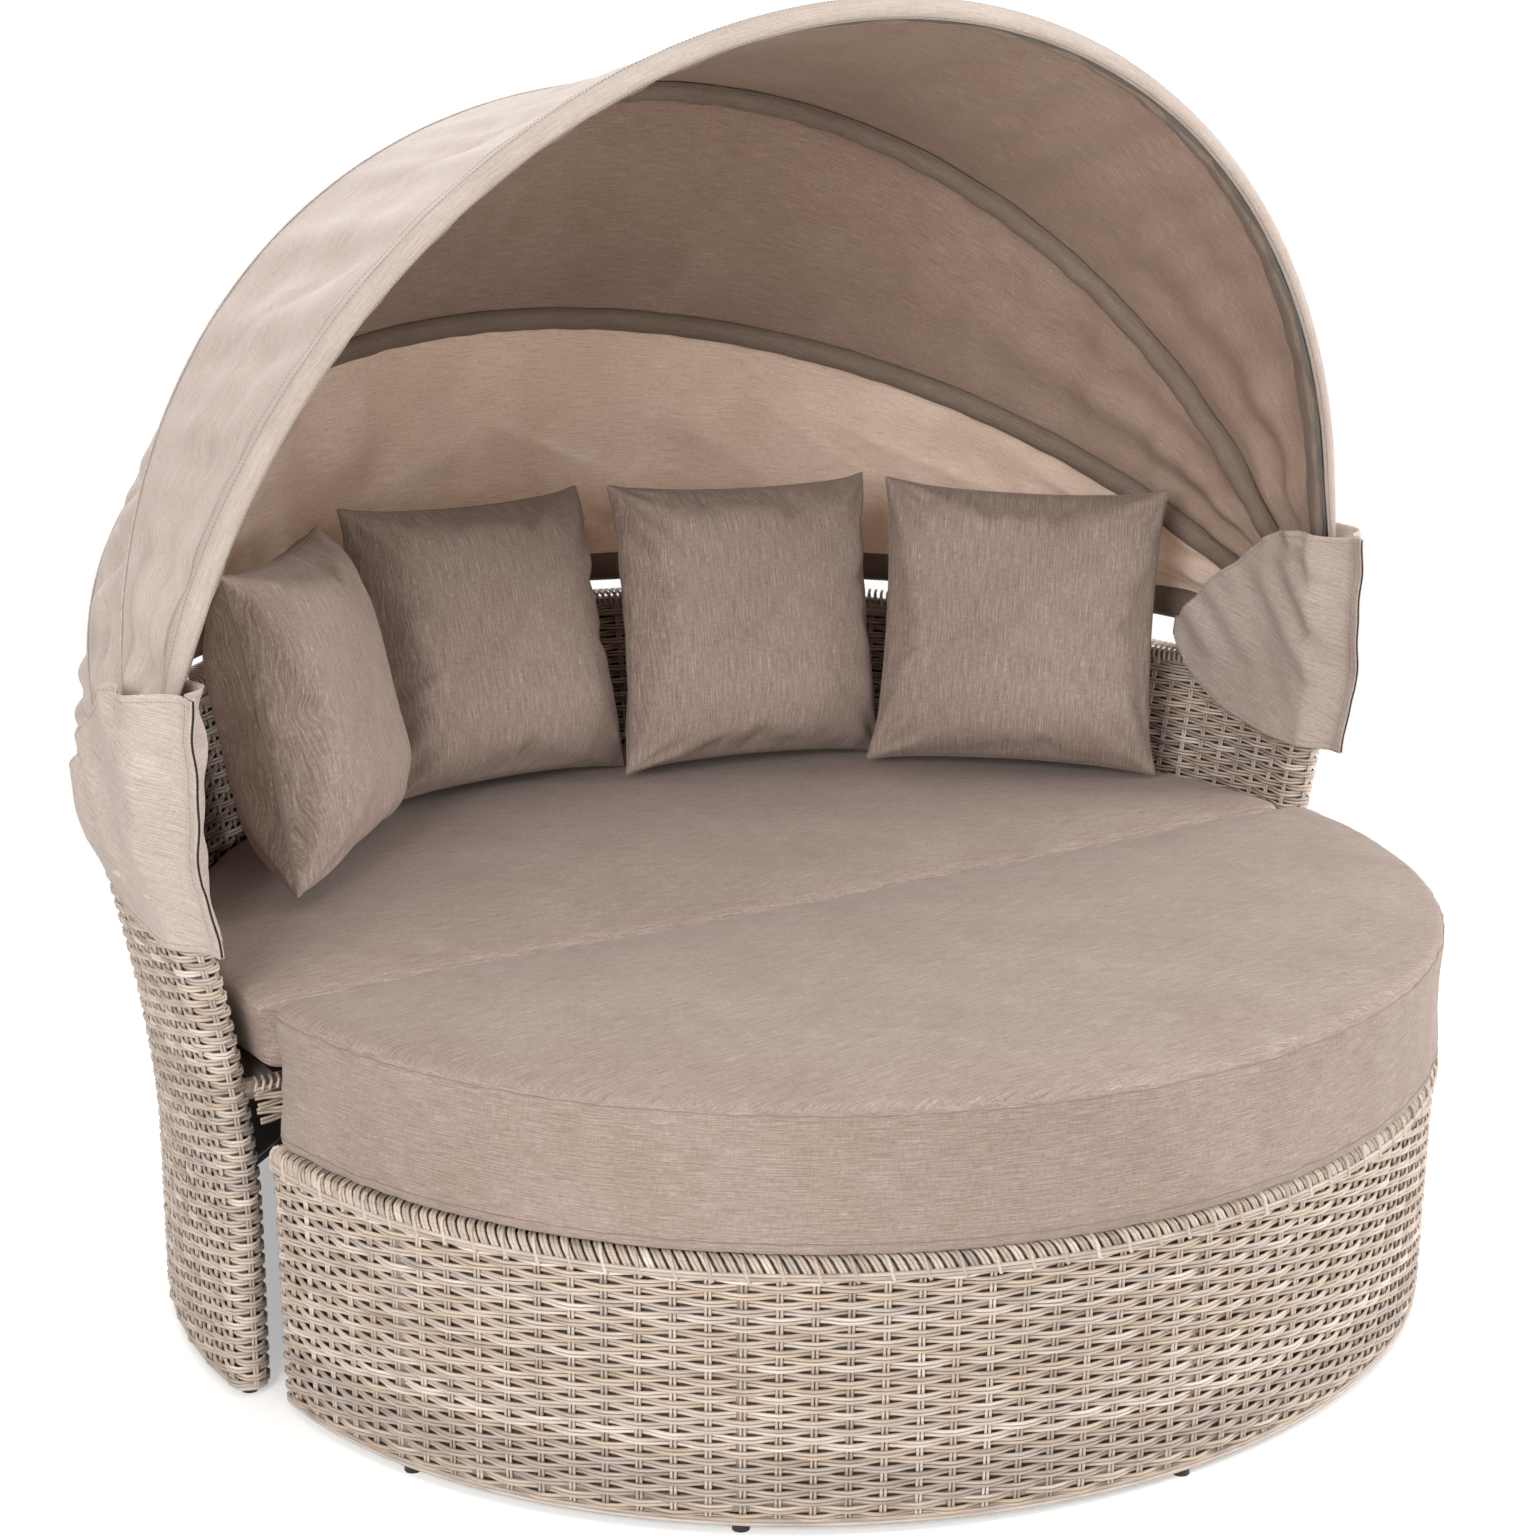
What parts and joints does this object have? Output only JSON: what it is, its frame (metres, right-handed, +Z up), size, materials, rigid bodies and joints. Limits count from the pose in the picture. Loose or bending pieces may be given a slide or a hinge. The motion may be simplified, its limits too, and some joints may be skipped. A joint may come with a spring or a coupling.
{
  "type": "outdoor daybed with canopy",
  "caption": "Round woven outdoor daybed: a flared high-backed sofa unit with a fold-back cloth canopy on bent bows, loose cushions, and a half-round ottoman that pulls out in front.",
  "frame": {"origin": "on the floor, under the middle of the overall footprint", "axes": "+Z up, +X to the right and +Y to the back as seen from the open front; the ottoman lies on the -Y side"},
  "size_m": [1.7968, 1.7161, 1.5791],
  "materials": {
    "wicker": "woven round strands, satin",
    "cloth": "slub weave, matt",
    "frame_tube": "powder coated, satin",
    "bow_tube": "powder coated, satin",
    "zinc_steel": "zinc plated",
    "black_plastic": "matt",
    "touch_tape": "touch fastener",
    "slat_wood": "oiled"
  },
  "bodies": {
    "sofa": {"sofa_frame": "frame_tube", "seat_slats": "slat_wood", "sofa_wicker": "wicker", "sofa_apron": "wicker", "sofa_foot_1": "black_plastic", "sofa_foot_2": "black_plastic", "sofa_foot_3": "black_plastic", "sofa_foot_4": "black_plastic", "sofa_foot_5": "black_plastic", "seat_cushion": "cloth", "pillow_1": "cloth", "pillow_2": "cloth", "pillow_3": "cloth", "pillow_4": "cloth", "pivot_bracket_left": "zinc_steel", "pivot_bracket_right": "zinc_steel", "pivot_bolt_left": "zinc_steel", "pivot_bolt_right": "zinc_steel", "pivot_nut_left": "zinc_steel", "pivot_nut_right": "zinc_steel", "washer_1_left": "zinc_steel", "washer_1_right": "zinc_steel", "washer_2_left": "zinc_steel", "washer_2_right": "zinc_steel", "washer_3_left": "zinc_steel", "washer_3_right": "zinc_steel", "washer_4_left": "zinc_steel", "washer_4_right": "zinc_steel", "bracket_screw_1_left": "zinc_steel", "bracket_screw_1_right": "zinc_steel", "bracket_screw_2_left": "zinc_steel", "bracket_screw_2_right": "zinc_steel", "rear_bow": "bow_tube", "ear_outer_left": "cloth", "ear_outer_right": "cloth", "ear_inner_left": "cloth", "ear_inner_right": "cloth", "touch_strip_left": "touch_tape", "touch_strip_right": "touch_tape"},
    "second_bow": {"second_bow": "bow_tube", "canopy_rear": "cloth"},
    "third_bow": {"third_bow": "bow_tube", "canopy_middle": "cloth"},
    "front_bow": {"front_bow": "bow_tube", "canopy_front": "cloth"},
    "ottoman": {"ottoman_frame": "frame_tube", "ottoman_slats": "slat_wood", "ottoman_wicker": "wicker", "ottoman_rim": "wicker", "ottoman_glide_1": "black_plastic", "ottoman_glide_2": "black_plastic", "ottoman_glide_3": "black_plastic", "ottoman_glide_4": "black_plastic", "ottoman_glide_5": "black_plastic", "ottoman_glide_6": "black_plastic", "ottoman_cushion": "cloth"}
  },
  "joints": [
    {"name": "second_bow_fold", "type": "hinge", "parent": "sofa", "child": "second_bow", "pos_m": [0, -0.02914, 0.69], "axis": [-1, 0, 0], "range_deg": [0, 20.1], "deforming": ["canopy_rear"]},
    {"name": "third_bow_fold", "type": "hinge", "parent": "second_bow", "child": "third_bow", "pos_m": [0, -0.02914, 0.69], "axis": [-1, 0, 0], "range_deg": [0, 25], "deforming": ["canopy_middle"]},
    {"name": "front_bow_fold", "type": "hinge", "parent": "third_bow", "child": "front_bow", "pos_m": [0, -0.02914, 0.69], "axis": [-1, 0, 0], "range_deg": [0, 32.4], "deforming": ["canopy_front"]},
    {"name": "ottoman_pull", "type": "slide", "parent": "sofa", "child": "ottoman", "axis": [0, -1, 0], "range_m": [0, 0.9]}
  ]
}
